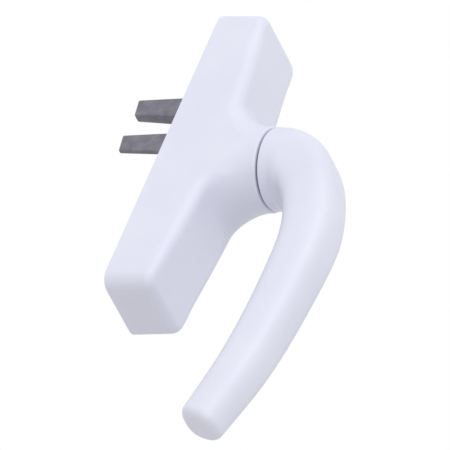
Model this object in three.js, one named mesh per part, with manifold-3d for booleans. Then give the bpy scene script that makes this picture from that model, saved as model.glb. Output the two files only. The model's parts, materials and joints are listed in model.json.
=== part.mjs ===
// Tilt and turn window handle: a die-cast housing with a round neck, a curved lever,
// and a rack and pinion inside that slides a two-pronged fork up and down the sash.
//
// Every piece is modelled on its back: X across the housing, Y along it, Z out towards
// the room, with the turning axis on Z and the sash face at Z = 0. The group at the end
// stands the assembly up, so that Z points up and the fork points along +Y.
// Sizes are in millimetres. The lever points down, which is the closed position.

import * as THREE from 'three';
import { LoftGeometry } from 'three/addons/geometries/LoftGeometry.js';
import { mergeVertices } from 'three/addons/utils/BufferGeometryUtils.js';
import Module from 'manifold-3d';

// ---- driving dimensions ----

const GAP = 0.3;

// Housing
const HOUSING_LENGTH = 132.5;
const HOUSING_WIDTH = 32;
const HOUSING_CENTRE = -1.5;
const HOUSING_CORNER = 5.5;
const HOUSING_WALL = 1.5;
const HOUSING_DRAFT = 0.018;
const HOUSING_END_EDGE = 3.4;
const HOUSING_SIDE_EDGE = 4.6;
// The edge's radius changes between these distances from the housing's ends
const EDGE_BLEND_FROM = 16;
const EDGE_BLEND_TO = 6;
const FACE_DEPTH_AT_ENDS = 18.6;
const FACE_RISE = 5.9;
const FACE_ARCH_POWER = 1.5;
// Most of the room between outline and neck that the edge and the flare may take
const EDGE_ROOM_SHARE = 0.4;
const FLARE_ROOM_SHARE = 0.6;
// How strongly points and sections crowd towards the neck and towards the ends
const SIDE_CROWDING = 1.5;
const CAVITY_CROWDING = 2.4;
// Most of the hollow's half width that its rounded edge may take
const CAVITY_EDGE_SHARE = 0.9;

// Neck
const NECK_RADIUS = 15.6;
const NECK_TOP = 39.1;
const NECK_TAPER = 0.1;
const NECK_FLARE = 9.6;
const NECK_FLARE_HEIGHT = 14.2;
const NECK_RIM = 0.8;
const NECK_COUNTERBORE_DEPTH = 1.3;

// Lever: sections of an elbow that runs on into a long, slightly curved grip
const LEVER_START = 39.8;
const LEVER_STATIONS = [
  // place along Y, depth Z, lean from +Z towards -Y in degrees, half width, half
  // thickness, squareness
  { y: 0, z: LEVER_START, lean: 0, across: 15.3, thick: 15.3, square: 2 },
  { y: -0.2, z: 45.1, lean: 10, across: 14.8, thick: 14.8, square: 2.05 },
  { y: -2, z: 49.1, lean: 24, across: 14.2, thick: 13.7, square: 2.2 },
  { y: -7.1, z: 55.4, lean: 48, across: 13.2, thick: 11.3, square: 2.4 },
  { y: -16.6, z: 60.8, lean: 66, across: 11.9, thick: 10.6, square: 2.5 },
  { y: -32.8, z: 65.2, lean: 83, across: 10.8, thick: 10.2, square: 2.5 },
  { y: -56.2, z: 65.1, lean: 94, across: 10, thick: 9.6, square: 2.5 },
  { y: -92, z: 61.1, lean: 100, across: 9.1, thick: 8.8, square: 2.5 },
  { y: -122.4, z: 53.1, lean: 107, across: 8, thick: 7.7, square: 2.5 },
];
const LEVER_TIP_EDGE = 3.2;
const LEVER_ROOT_ROUNDING = [
  // inset and distance up from the lever's root
  [1, 0],
  [0.3, 0.25],
  [0, 0.9],
];
const LEVER_STEPS = 40;
const LEVER_SIDES = 28;

// Spigot of the lever and what holds it in the neck
const SPIGOT_RADIUS = 8.6;
const SPIGOT_END = 22.6;
const BUSH_RADIUS = 10.9;
const BUSH_SEAT = 27.4;
const BUSH_FLANGE_RADIUS = 13.2;
const BOSS_RADIUS = 14.2;
const BOSS_FOOT = 17.4;
const CHAMBER_RADIUS = 12;
const RING_GROOVE_RADIUS = 7.6;
const RING_GROOVE_FROM = 24.5;
const RING_GROOVE_TO = 26.1;
const RING_OUTER_RADIUS = 10.6;
const WASHER_RADIUS = 11.5;

// Spindle
const SPINDLE_SIDE = 7.4;
const SPINDLE_FROM = 8.9;
const SPINDLE_TO = 33.2;
const SPINDLE_PIN_RADIUS = 1.25;
const SPINDLE_PIN_LENGTH = 14.6;
const SPINDLE_PIN_DEPTH = 30.2;

// Rack and pinion: 20 degree involute teeth
const MODULE = 1.25;
const PINION_TEETH = 18;
const PRESSURE_ANGLE = THREE.MathUtils.degToRad(20);
const FLANK_CLEARANCE = 0.1;
const PINION_FROM = 6.7;
const PINION_TO = 10.7;
const PINION_HUB_TO = 11.3;
const PINION_HUB_RADIUS = 7;
const RACK_TEETH_BELOW = 2;
const RACK_TEETH_ABOVE = 11;

// Detent: a notched disc and two sprung balls, above and below the spindle
const DISC_RADIUS = 10.5;
const DISC_FROM = 11.6;
const DISC_TO = 16.8;
const BALL_RADIUS = 2;
const BALL_DISTANCE = 11.6;
const BALL_DEPTH = 14.2;
const BALL_TRACK_RADIUS = 2.35;
const NOTCH_RADIUS = 2.7;
const NOTCH_DISTANCE = 12;
const SPRING_BORE = 2.3;
const SPRING_COIL_RADIUS = 1.45;
const SPRING_WIRE_RADIUS = 0.3;
const SPRING_TURNS = 6;
const SPRING_FROM = 14.3;
const SPRING_TO = 23;
const SPRING_BLOCK_FROM = 12.6;
const SPRING_BLOCK_TO = 25;
const SPRING_BLOCK_HALF = 3.6;
const SPRING_BLOCK_DEPTH = 11.2;

// Slider, fork and guides
const SLIDER_FROM = 4.4;
const SLIDER_TO = 6.4;
const SLIDER_LEFT = -13.9;
const SLIDER_RIGHT = 10.2;
const SLIDER_BOTTOM = -9.4;
const SLIDER_TOP = 45;
const FORK_FOOT_FROM = 2.1;
const FORK_FOOT_TO = 4.1;
const FORK_FOOT_HALF = 5.5;
const FORK_FOOT_BOTTOM = 4;
const FORK_FOOT_TOP = 42.6;
const PRONG_REACH = 28.8;
const PRONG_ROOT = 10.4;
const PRONG_TIP = 7.8;
const PRONG_SIDE = -2.4;
const PRONG_TIP_CORNER = 0.9;
// Share of the tip's rounding that the prongs' wide sides take
const PRONG_SIDE_SHARE = 0.4;
const PRONG_END_SLANT = 1;
const PRONGS = [
  // centre along Y, width across X at the root and at the tip
  { centre: 29.5, rootWidth: 6, tipWidth: 3.9 },
  { centre: 12.1, rootWidth: 2.2, tipWidth: 2 },
];
const FORK_SCREW_PLACES = [20.8, 38.8];
const GUIDE_HALF_LENGTH = 46;
const GUIDE_INNER = 8.2;
const GUIDE_RAIL_INNER = 10.6;
const GUIDE_OUTER = 14;
const GUIDE_FROM = 2.1;
const GUIDE_TO = 4.1;
const GUIDE_RAIL_TO = 6.2;

// Back plate and its fixings
const PLATE_THICKNESS = 1.8;
const PLATE_INSET = 0.35;
const SLOT_WIDTH = 8.4;
const SLOT_END_CLEARANCE = 1.2;
const SCREW_X = 9;
const SCREW_Y = 60;
const PILLAR_RADIUS = 3;
const INSERT_Y = 52;
const INSERT_RADIUS = 4;
const INSERT_BORE = 2.1;
const INSERT_FLANGE = 5.6;
const INSERT_FLANGE_THICKNESS = 1.2;
const INSERT_TO = 8.5;

// Screws: radii, and depths along their axes
const PLATE_SCREW = {
  pilot: 1.6,
  pilotTo: 12,
  plateHole: 1.8,
  sink: 3,
  sinkTo: 1.1,
  head: 2.7,
  headFrom: 0.1,
  headTo: 0.8,
  shank: 1.25,
  shankTo: 10,
  crossHalfLength: 1.4,
  crossHalfWidth: 0.3,
  crossTo: 0.45,
};
const PINION_SCREW = {
  bore: 2,
  boreLength: 8.5,
  recess: 5.4,
  head: 4.8,
  headFrom: 6.9,
  shank: 1.65,
  shankLength: 7.5,
  socket: 1.5,
  socketTo: 7.8,
};
const FORK_SCREW = {
  sliderHole: 1.7,
  recess: 3.1,
  recessDepth: 1.1,
  forkHole: 1.6,
  head: 2.8,
  headHeight: 0.8,
  shank: 1.3,
  shankFrom: 2.3,
  socket: 1,
  socketDepth: 0.5,
  overlap: 0.4,
};

const ROUND_SIDES = 28;
const SMALL_SIDES = 16;

// ---- colours ----

const POWDER_WHITE = { color: 0xe3e6f2, roughness: 0.42, metalness: 0 };
const DARK_ZINC = { color: 0x6e6d78, roughness: 0.5, metalness: 0.75 };
const BRIGHT_STEEL = { color: 0xb9bcc2, roughness: 0.35, metalness: 0.9 };
const ZINC_PLATED = { color: 0xa9aeb6, roughness: 0.45, metalness: 0.8 };
const BLACK_NYLON = { color: 0x2b2b2e, roughness: 0.6, metalness: 0 };
const BRASS = { color: 0xb8964f, roughness: 0.4, metalness: 0.85 };

// ---- geometry helpers ----

const wasm = await Module();
wasm.setup();

// A closed three.js geometry as a manifold solid, with its faces turned outwards
function solid(geometry) {
  const bare = new THREE.BufferGeometry();
  bare.setAttribute('position', geometry.getAttribute('position'));
  bare.setIndex(geometry.getIndex());
  const merged = mergeVertices(bare, 1e-4);
  const positions = merged.attributes.position.array;
  const triangles = Uint32Array.from(merged.index.array);
  if (signedVolume(positions, triangles) < 0) {
    triangles.reverse();
  }
  const mesh = new wasm.Mesh({ numProp: 3, vertProperties: positions, triVerts: triangles });
  return new wasm.Manifold(mesh);
}

function signedVolume(positions, triangles) {
  const corners = [new THREE.Vector3(), new THREE.Vector3(), new THREE.Vector3()];
  let total = 0;
  for (let i = 0; i < triangles.length; i += 3) {
    corners.forEach((corner, k) => corner.fromArray(positions, 3 * triangles[i + k]));
    total += corners[0].dot(corners[1].cross(corners[2])) / 6;
  }
  return total;
}

function geometryOf(manifold) {
  const mesh = manifold.getMesh();
  const geometry = new THREE.BufferGeometry();
  geometry.setAttribute('position', new THREE.BufferAttribute(mesh.vertProperties, 3));
  geometry.setIndex(new THREE.BufferAttribute(mesh.triVerts, 1));
  geometry.computeVertexNormals();
  return geometry;
}

const joined = (first, ...others) => others.reduce((whole, part) => whole.add(part), first);
const without = (first, ...cuts) => cuts.reduce((whole, cut) => whole.subtract(cut), first);

// A round bar along Z
function rod(radius, from, to, x = 0, y = 0, sides = ROUND_SIDES) {
  const geometry = new THREE.CylinderGeometry(radius, radius, to - from, sides);
  geometry.rotateX(Math.PI / 2);
  geometry.translate(x, y, (from + to) / 2);
  return solid(geometry);
}

// A round bar along X or Y
function crossRod(radius, length, direction, x, y, z, sides = SMALL_SIDES) {
  const geometry = new THREE.CylinderGeometry(radius, radius, length, sides);
  if (direction === 'x') {
    geometry.rotateZ(Math.PI / 2);
  }
  geometry.translate(x, y, z);
  return solid(geometry);
}

function block(x0, x1, y0, y1, z0, z1) {
  const geometry = new THREE.BoxGeometry(x1 - x0, y1 - y0, z1 - z0);
  geometry.translate((x0 + x1) / 2, (y0 + y1) / 2, (z0 + z1) / 2);
  return solid(geometry);
}

// A flat outline given thickness along Z
function slab(shape, from, to, curveSegments = 6) {
  const geometry = new THREE.ExtrudeGeometry(shape, {
    depth: to - from,
    bevelEnabled: false,
    curveSegments,
  });
  geometry.translate(0, 0, from);
  return solid(geometry);
}

// A ring or stepped round piece about the Z axis, from [radius, depth] points
function turned(points, sides = ROUND_SIDES) {
  const profile = points.map(([radius, depth]) => new THREE.Vector2(radius, depth));
  profile.push(profile[0].clone());
  const geometry = new THREE.LatheGeometry(profile, sides);
  geometry.rotateX(Math.PI / 2);
  return solid(geometry);
}

function roundedRectangle(halfX, halfY, radius, centreY = 0) {
  const shape = new THREE.Shape();
  const corners = [
    [halfX - radius, centreY + halfY - radius, 0],
    [-halfX + radius, centreY + halfY - radius, 1],
    [-halfX + radius, centreY - halfY + radius, 2],
    [halfX - radius, centreY - halfY + radius, 3],
  ];
  for (const [x, y, quarter] of corners) {
    shape.absarc(x, y, radius, quarter * Math.PI / 2, (quarter + 1) * Math.PI / 2, false);
  }
  return shape;
}

// ---- housing ----

// Depth of the housing's front face at a place along it: an arch that is highest at the neck
function faceDepth(y) {
  const share = Math.min(1, Math.abs(y - HOUSING_CENTRE) / (HOUSING_LENGTH / 2));
  return FACE_DEPTH_AT_ENDS + FACE_RISE * (1 - share ** FACE_ARCH_POWER);
}

// How far a rounded edge of a radius draws in at a distance from its outer limit
function drawIn(radius, fromLimit) {
  const along = THREE.MathUtils.clamp(radius - fromLimit, 0, radius);
  return radius - Math.sqrt(radius * radius - along * along);
}

// The housing's outline at a depth, as a rounded rectangle that the draft makes smaller
function outlineAt(depth) {
  const draft = HOUSING_DRAFT * depth;
  return {
    halfWidth: HOUSING_WIDTH / 2 - draft,
    halfLength: HOUSING_LENGTH / 2 - draft,
    corner: HOUSING_CORNER - draft,
  };
}

// Distance of a point inside a rounded rectangle from its outline
function depthInside(x, y, { halfWidth, halfLength, corner }) {
  const beyondX = Math.abs(x) - (halfWidth - corner);
  const beyondY = Math.abs(y - HOUSING_CENTRE) - (halfLength - corner);
  const outside = Math.hypot(Math.max(beyondX, 0), Math.max(beyondY, 0));
  return corner - outside - Math.min(Math.max(beyondX, beyondY), 0);
}

// Radius of the rounded front edge at a place along the housing: larger along the sides
// than round the ends
function edgeRadius(y) {
  const fromEnd = HOUSING_LENGTH / 2 - Math.abs(y - HOUSING_CENTRE);
  const share = 1 - THREE.MathUtils.smoothstep(fromEnd, EDGE_BLEND_TO, EDGE_BLEND_FROM);
  return THREE.MathUtils.lerp(HOUSING_SIDE_EDGE, HOUSING_END_EDGE, share);
}

// Points all round an outline with their outward directions, anticlockwise from the
// middle of the +X side
function outlinePoints({ halfWidth, halfLength, corner }) {
  const sideSteps = 13;
  const cornerSteps = 5;
  const endSteps = 3;
  const quarter = [];
  for (let step = 0; step < sideSteps; step += 1) {
    const y = (halfLength - corner) * (step / sideSteps) ** SIDE_CROWDING;
    quarter.push({ x: halfWidth, y, outX: 1, outY: 0 });
  }
  for (let step = 0; step < cornerSteps; step += 1) {
    const angle = step / cornerSteps * Math.PI / 2;
    const outX = Math.cos(angle);
    const outY = Math.sin(angle);
    const x = halfWidth - corner + corner * outX;
    const y = halfLength - corner + corner * outY;
    quarter.push({ x, y, outX, outY });
  }
  for (let step = 0; step <= endSteps; step += 1) {
    const x = (halfWidth - corner) * (1 - step / endSteps);
    quarter.push({ x, y: halfLength, outX: 0, outY: 1 });
  }
  const turnedOver = (points, signX, signY) => points.map(({ x, y, outX, outY }) => (
    { x: x * signX, y: y * signY, outX: outX * signX, outY: outY * signY }
  ));
  const forward = quarter.slice(0, -1);
  const backward = quarter.slice(1).reverse();
  return [
    ...forward,
    ...turnedOver(backward, -1, 1),
    ...turnedOver(forward, -1, -1),
    ...turnedOver(backward, 1, -1),
  ].map((point) => ({ ...point, y: point.y + HOUSING_CENTRE }));
}

// Depth of the housing's front skin: the rising face, the flare that lifts it into the
// neck, and the rounded edge all round
function skinDepth(x, y, outline) {
  const fromNeck = Math.max(0, Math.hypot(x, y) - NECK_RADIUS);
  const flare = drawIn(NECK_FLARE, fromNeck) * NECK_FLARE_HEIGHT / NECK_FLARE;
  return faceDepth(y) + flare - drawIn(edgeRadius(y), depthInside(x, y, outline));
}

// The housing's outer form: rings of points from the back, over the edge and the face,
// up the flare and the neck to its rim
function housingForm() {
  const outline = outlineAt(FACE_DEPTH_AT_ENDS);
  const rimPoints = outlinePoints(outline).map((point) => {
    const room = Math.hypot(point.x, point.y) - NECK_RADIUS;
    return { ...point, edge: Math.min(edgeRadius(point.y), room * EDGE_ROOM_SHARE) };
  });
  const onSkin = (x, y) => new THREE.Vector3(x, y, skinDepth(x, y, outline));
  const edgeRing = (share) => rimPoints.map(({ x, y, outX, outY, edge }) => (
    onSkin(x - outX * edge * share, y - outY * edge * share)
  ));
  const innerEdge = edgeRing(1);
  const faceRing = (place) => innerEdge.map(({ x, y }) => {
    const radius = Math.hypot(x, y);
    const room = radius - NECK_RADIUS;
    const flare = Math.min(NECK_FLARE, room * FLARE_ROOM_SHARE);
    const scale = (radius - place(room, flare)) / radius;
    return onSkin(x * scale, y * scale);
  });
  const neckRing = (radius, depth) => innerEdge.map(({ x, y }) => {
    const scale = radius / Math.hypot(x, y);
    return new THREE.Vector3(x * scale, y * scale, depth);
  });
  const rings = [outlinePoints(outlineAt(0)).map(({ x, y }) => new THREE.Vector3(x, y, 0))];
  const edgeSteps = 5;
  for (let step = 0; step <= edgeSteps; step += 1) {
    rings.push(edgeRing(1 - Math.cos(step / edgeSteps * Math.PI / 2)));
  }
  const faceSteps = 3;
  for (let step = 1; step < faceSteps; step += 1) {
    rings.push(faceRing((room, flare) => (room - flare) * step / faceSteps));
  }
  const flareSteps = 7;
  for (let step = 0; step <= flareSteps; step += 1) {
    const share = 1 - Math.sin(step / flareSteps * Math.PI / 2);
    rings.push(faceRing((room, flare) => room - flare * share));
  }
  const rimSteps = 2;
  for (let step = 0; step <= rimSteps; step += 1) {
    const angle = step / rimSteps * Math.PI / 2;
    const inset = NECK_TAPER + NECK_RIM * (1 - Math.cos(angle));
    rings.push(neckRing(NECK_RADIUS - inset, NECK_TOP - NECK_RIM * (1 - Math.sin(angle))));
  }
  return solid(new LoftGeometry(rings, { capStart: true, capEnd: true }));
}

// The hollow behind the front, as cross-sections along its length
function cavityForm() {
  const halfLength = HOUSING_LENGTH / 2 - HOUSING_WALL;
  const halfWidth = HOUSING_WIDTH / 2 - HOUSING_WALL;
  const corner = HOUSING_CORNER - HOUSING_WALL;
  const endEdge = HOUSING_END_EDGE - HOUSING_WALL;
  const sideEdge = HOUSING_SIDE_EDGE - HOUSING_WALL;
  const halfSteps = 14;
  const sections = [];
  for (let step = -halfSteps; step <= halfSteps; step += 1) {
    const share = Math.abs(step) / halfSteps;
    const along = Math.sign(step) * halfLength * (1 - (1 - share) ** CAVITY_CROWDING);
    const fromEnd = halfLength - Math.abs(along);
    const half = halfWidth - drawIn(corner, fromEnd);
    const height = faceDepth(along + HOUSING_CENTRE) - HOUSING_WALL - drawIn(endEdge, fromEnd);
    const edge = Math.min(sideEdge, half * CAVITY_EDGE_SHARE);
    sections.push(cavitySection(along, half, height, edge));
  }
  return solid(new LoftGeometry(sections, { capStart: true, capEnd: true }));
}

// One cross-section of the hollow: upright sides with draft, and two rounded edges
function cavitySection(along, half, height, edge) {
  const arcSteps = 3;
  const points = [];
  const add = (x, z) => {
    const draft = 1 - HOUSING_DRAFT * z / half;
    const shortening = 1 - HOUSING_DRAFT * z / (HOUSING_LENGTH / 2);
    points.push(new THREE.Vector3(x * draft, along * shortening + HOUSING_CENTRE, z));
  };
  const arc = (centreX, fromAngle) => {
    for (let step = 0; step <= arcSteps; step += 1) {
      const angle = fromAngle - step / arcSteps * Math.PI / 2;
      add(centreX + edge * Math.cos(angle), height - edge + edge * Math.sin(angle));
    }
  };
  add(-half, -1);
  arc(-half + edge, Math.PI);
  arc(half - edge, Math.PI / 2);
  add(half, -1);
  return points;
}

// Two blocks inside the front, one above and one below the spindle, that hold the springs
function springBlocks() {
  const ceiling = faceDepth(SPRING_BLOCK_TO) - HOUSING_WALL / 2;
  return [1, -1].map((side) => {
    const ends = [side * SPRING_BLOCK_FROM, side * SPRING_BLOCK_TO].sort((a, b) => a - b);
    return block(-SPRING_BLOCK_HALF, SPRING_BLOCK_HALF, ...ends, SPRING_BLOCK_DEPTH, ceiling);
  });
}

function springBores() {
  const length = SPRING_TO + GAP - SPRING_BLOCK_FROM + 1;
  return [1, -1].map((side) => {
    const middle = side * (SPRING_BLOCK_FROM - 1 + length / 2);
    return crossRod(SPRING_BORE, length, 'y', 0, middle, BALL_DEPTH);
  });
}

function screwPlaces() {
  return [
    [-SCREW_X, HOUSING_CENTRE + SCREW_Y],
    [SCREW_X, HOUSING_CENTRE + SCREW_Y],
    [-SCREW_X, HOUSING_CENTRE - SCREW_Y],
    [SCREW_X, HOUSING_CENTRE - SCREW_Y],
  ];
}

function housing() {
  const pillarFoot = PLATE_THICKNESS + GAP;
  const pillars = screwPlaces().map(([x, y]) => (
    rod(PILLAR_RADIUS, pillarFoot, FACE_DEPTH_AT_ENDS - HOUSING_WALL / 2, x, y, SMALL_SIDES)
  ));
  const boss = rod(BOSS_RADIUS, BOSS_FOOT, NECK_TOP - NECK_RIM, 0, 0, 40);
  const shell = joined(housingForm().subtract(cavityForm()), boss, ...pillars, ...springBlocks());
  const screwHoles = screwPlaces().map(([x, y]) => (
    rod(PLATE_SCREW.pilot, 0, PLATE_SCREW.pilotTo, x, y, SMALL_SIDES)
  ));
  return without(
    shell,
    rod(CHAMBER_RADIUS, BOSS_FOOT - 1, BUSH_SEAT - GAP),
    rod(BUSH_RADIUS + GAP, BUSH_SEAT - 1, NECK_TOP + 1),
    rod(BUSH_FLANGE_RADIUS + GAP, NECK_TOP - NECK_COUNTERBORE_DEPTH, NECK_TOP + 1, 0, 0, 40),
    rod(DISC_RADIUS + 1, BOSS_FOOT - 8, BOSS_FOOT + 1),
    ...springBores(),
    ...screwHoles,
  );
}

// ---- lever ----

// All values of the lever's stations at a share of its length: a smooth curve through
// them whose knots are spaced by the square root of the distances between the places
function leverValues(share) {
  const values = LEVER_STATIONS.map((station) => Object.values(station));
  const last = values.length - 1;
  const index = Math.min(Math.floor(share * last), last - 1);
  const blend = share * last - index;
  const beyond = (near, far) => near.map((value, k) => 2 * value - far[k]);
  const start = values[index];
  const end = values[index + 1];
  const before = values[index - 1] ?? beyond(start, end);
  const after = values[index + 2] ?? beyond(end, start);
  const knot = (from, to) => Math.hypot(to[0] - from[0], to[1] - from[1]) ** 0.5;
  const knots = [knot(before, start), knot(start, end), knot(end, after)];
  return start.map((_, k) => {
    const [a, b, c, d] = [before[k], start[k], end[k], after[k]];
    const leave = ((b - a) / knots[0] - (c - a) / (knots[0] + knots[1])) * knots[1] + (c - b);
    const arrive = (c - b) - ((d - b) / (knots[1] + knots[2]) - (d - c) / knots[2]) * knots[1];
    const square = 3 * (c - b) - 2 * leave - arrive;
    const cube = 2 * (b - c) + leave + arrive;
    return b + leave * blend + square * blend ** 2 + cube * blend ** 3;
  });
}

// Place, heading, half sizes and squareness of the lever at a share of its length
function leverStation(share) {
  const [y, z, lean, across, thick, square] = leverValues(share);
  const angle = THREE.MathUtils.degToRad(lean);
  const heading = new THREE.Vector3(0, -Math.sin(angle), Math.cos(angle));
  return { place: new THREE.Vector3(0, y, z), heading, across, thick, square };
}

// A rounded section square to the lever's heading, drawn in by inset, moved on by shift
function leverSection({ place, heading, across, thick, square }, inset, shift) {
  const side = new THREE.Vector3(1, 0, 0);
  const outward = new THREE.Vector3().crossVectors(heading, side).normalize();
  const centre = place.clone().addScaledVector(heading, shift);
  const points = [];
  for (let step = 0; step < LEVER_SIDES; step += 1) {
    const angle = step / LEVER_SIDES * 2 * Math.PI;
    const round = (value) => Math.sign(value) * Math.abs(value) ** (2 / square);
    points.push(centre.clone()
      .addScaledVector(side, (across - inset) * round(Math.cos(angle)))
      .addScaledVector(outward, (thick - inset) * round(Math.sin(angle))));
  }
  return points;
}

function leverBody() {
  const sections = [];
  const start = leverStation(0);
  LEVER_ROOT_ROUNDING.forEach(([inset, shift]) => sections.push(leverSection(start, inset, shift)));
  for (let step = 2; step < LEVER_STEPS; step += 1) {
    sections.push(leverSection(leverStation(step / LEVER_STEPS), 0, 0));
  }
  const tip = leverStation(1);
  const tipSteps = 4;
  for (let step = 0; step <= tipSteps; step += 1) {
    const angle = step / tipSteps * Math.PI / 2;
    const inset = LEVER_TIP_EDGE * (1 - Math.cos(angle));
    const shift = LEVER_TIP_EDGE * (Math.sin(angle) - 1);
    sections.push(leverSection(tip, inset, shift));
  }
  return solid(new LoftGeometry(sections, { capStart: true, capEnd: true }));
}

function lever() {
  const spigot = rod(SPIGOT_RADIUS, SPIGOT_END, LEVER_START + 2);
  const hole = SPINDLE_SIDE / 2 + GAP;
  const ringGroove = turned([
    [RING_GROOVE_RADIUS, RING_GROOVE_FROM],
    [SPIGOT_RADIUS + 1, RING_GROOVE_FROM],
    [SPIGOT_RADIUS + 1, RING_GROOVE_TO],
    [RING_GROOVE_RADIUS, RING_GROOVE_TO],
  ]);
  return without(
    leverBody().add(spigot),
    block(-hole, hole, -hole, hole, SPIGOT_END - 1, SPINDLE_TO + GAP),
    crossRod(SPINDLE_PIN_RADIUS + GAP, 2 * SPIGOT_RADIUS + 2, 'x', 0, 0, SPINDLE_PIN_DEPTH),
    ringGroove,
  );
}

// ---- turning parts inside ----

function neckBush() {
  const bore = SPIGOT_RADIUS + GAP;
  const flangeFrom = NECK_TOP - NECK_COUNTERBORE_DEPTH + GAP;
  return turned([
    [bore, BUSH_SEAT],
    [BUSH_RADIUS, BUSH_SEAT],
    [BUSH_RADIUS, flangeFrom],
    [BUSH_FLANGE_RADIUS, flangeFrom],
    [BUSH_FLANGE_RADIUS, LEVER_START - GAP],
    [bore, LEVER_START - GAP],
  ], 40);
}

function retainingWasher() {
  const from = RING_GROOVE_TO + 0.1;
  const to = BUSH_SEAT - 2 * GAP;
  return turned([
    [SPIGOT_RADIUS + GAP, from],
    [WASHER_RADIUS, from],
    [WASHER_RADIUS, to],
    [SPIGOT_RADIUS + GAP, to],
  ]);
}

// An open spring ring: a C with two lugs beside its gap
function retainingRing() {
  const inner = RING_GROOVE_RADIUS + GAP;
  const halfGap = 0.22;
  const from = RING_GROOVE_FROM + GAP;
  const to = RING_GROOVE_TO - GAP;
  const shape = new THREE.Shape();
  shape.absarc(0, 0, RING_OUTER_RADIUS, halfGap, 2 * Math.PI - halfGap, false);
  shape.absarc(0, 0, inner, 2 * Math.PI - halfGap, halfGap, true);
  return slab(shape, from, to, 30);
}

function spindle() {
  const half = SPINDLE_SIDE / 2;
  return without(
    block(-half, half, -half, half, SPINDLE_FROM, SPINDLE_TO),
    rod(PINION_SCREW.bore, SPINDLE_FROM - 1, SPINDLE_FROM + PINION_SCREW.boreLength, 0, 0, SMALL_SIDES),
    crossRod(SPINDLE_PIN_RADIUS + GAP, SPINDLE_SIDE + 2, 'x', 0, 0, SPINDLE_PIN_DEPTH),
  );
}

function spindlePin() {
  return crossRod(SPINDLE_PIN_RADIUS, SPINDLE_PIN_LENGTH, 'x', 0, 0, SPINDLE_PIN_DEPTH);
}

// Outline of an involute spur gear with a tooth space towards -X
function gearShape() {
  const pitch = MODULE * PINION_TEETH / 2;
  const base = pitch * Math.cos(PRESSURE_ANGLE);
  const outer = pitch + MODULE;
  const root = pitch - 1.25 * MODULE;
  const involute = (radius) => {
    const turn = Math.sqrt(Math.max(0, (radius / base) ** 2 - 1));
    return turn - Math.atan(turn);
  };
  const halfTooth = Math.PI / (2 * PINION_TEETH) - FLANK_CLEARANCE / pitch;
  const toothSpread = (radius) => halfTooth + involute(pitch) - involute(radius);
  const flankSteps = 4;
  const flank = [];
  for (let step = 0; step <= flankSteps; step += 1) {
    const radius = base + (outer - base) * step / flankSteps;
    flank.push([radius, toothSpread(radius)]);
  }
  const points = [];
  const add = (radius, angle) => {
    points.push(new THREE.Vector2(radius * Math.cos(angle), radius * Math.sin(angle)));
  };
  for (let tooth = 0; tooth < PINION_TEETH; tooth += 1) {
    const middle = Math.PI + (tooth + 0.5) * 2 * Math.PI / PINION_TEETH;
    add(root, middle - toothSpread(base) - 0.02);
    flank.forEach(([radius, spread]) => add(radius, middle - spread));
    [...flank].reverse().forEach(([radius, spread]) => add(radius, middle + spread));
    add(root, middle + toothSpread(base) + 0.02);
  }
  return new THREE.Shape(points);
}

function pinion() {
  const hole = SPINDLE_SIDE / 2 + GAP;
  return without(
    slab(gearShape(), PINION_FROM, PINION_TO).add(rod(PINION_HUB_RADIUS, PINION_TO - 1, PINION_HUB_TO)),
    block(-hole, hole, -hole, hole, PINION_FROM - 1, PINION_HUB_TO + 1),
    rod(PINION_SCREW.recess, PINION_FROM - 1, SPINDLE_FROM),
  );
}

function pinionScrew() {
  const headTo = SPINDLE_FROM - GAP;
  const head = rod(PINION_SCREW.head, PINION_SCREW.headFrom, headTo);
  const shankTo = SPINDLE_FROM + PINION_SCREW.shankLength;
  const shank = rod(PINION_SCREW.shank, headTo - 0.5, shankTo, 0, 0, SMALL_SIDES);
  const socket = hexSocket(PINION_SCREW.headFrom, PINION_SCREW.socketTo, PINION_SCREW.socket);
  return head.add(shank).subtract(socket);
}

function hexSocket(from, to, radius, x = 0, y = 0) {
  return rod(radius, from - 1, to, x, y, 6);
}

function detentDisc() {
  const track = new THREE.TorusGeometry(BALL_DISTANCE, BALL_TRACK_RADIUS, 16, 48);
  track.translate(0, 0, BALL_DEPTH);
  const notches = [0, 1, 2, 3].map((quarter) => {
    const angle = quarter * Math.PI / 2;
    const x = NOTCH_DISTANCE * Math.cos(angle);
    const y = NOTCH_DISTANCE * Math.sin(angle);
    return rod(NOTCH_RADIUS, DISC_FROM - 1, DISC_TO + 1, x, y, SMALL_SIDES);
  });
  const hole = SPINDLE_SIDE / 2 + GAP;
  return without(
    rod(DISC_RADIUS, DISC_FROM, DISC_TO, 0, 0, 48),
    solid(track),
    ...notches,
    block(-hole, hole, -hole, hole, DISC_FROM - 1, DISC_TO + 1),
  );
}

function detentBall(side) {
  const geometry = new THREE.SphereGeometry(BALL_RADIUS, 18, 12);
  geometry.translate(0, side * BALL_DISTANCE, BALL_DEPTH);
  return solid(geometry);
}

class Helix extends THREE.Curve {
  constructor(side) {
    super();
    this.side = side;
  }

  getPoint(share, target = new THREE.Vector3()) {
    const angle = share * SPRING_TURNS * 2 * Math.PI;
    const start = SPRING_FROM + SPRING_WIRE_RADIUS;
    const along = start + share * (SPRING_TO - SPRING_WIRE_RADIUS - start);
    return target.set(
      SPRING_COIL_RADIUS * Math.cos(angle),
      this.side * along,
      BALL_DEPTH + SPRING_COIL_RADIUS * Math.sin(angle),
    );
  }
}

function detentSpring(side) {
  const section = new THREE.Shape();
  const corners = 6;
  for (let corner = 0; corner < corners; corner += 1) {
    const angle = corner / corners * 2 * Math.PI;
    const point = [SPRING_WIRE_RADIUS * Math.cos(angle), SPRING_WIRE_RADIUS * Math.sin(angle)];
    if (corner === 0) {
      section.moveTo(...point);
    } else {
      section.lineTo(...point);
    }
  }
  return solid(new THREE.ExtrudeGeometry(section, {
    steps: SPRING_TURNS * 14,
    extrudePath: new Helix(side),
    bevelEnabled: false,
  }));
}

// ---- slider and fork ----

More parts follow.
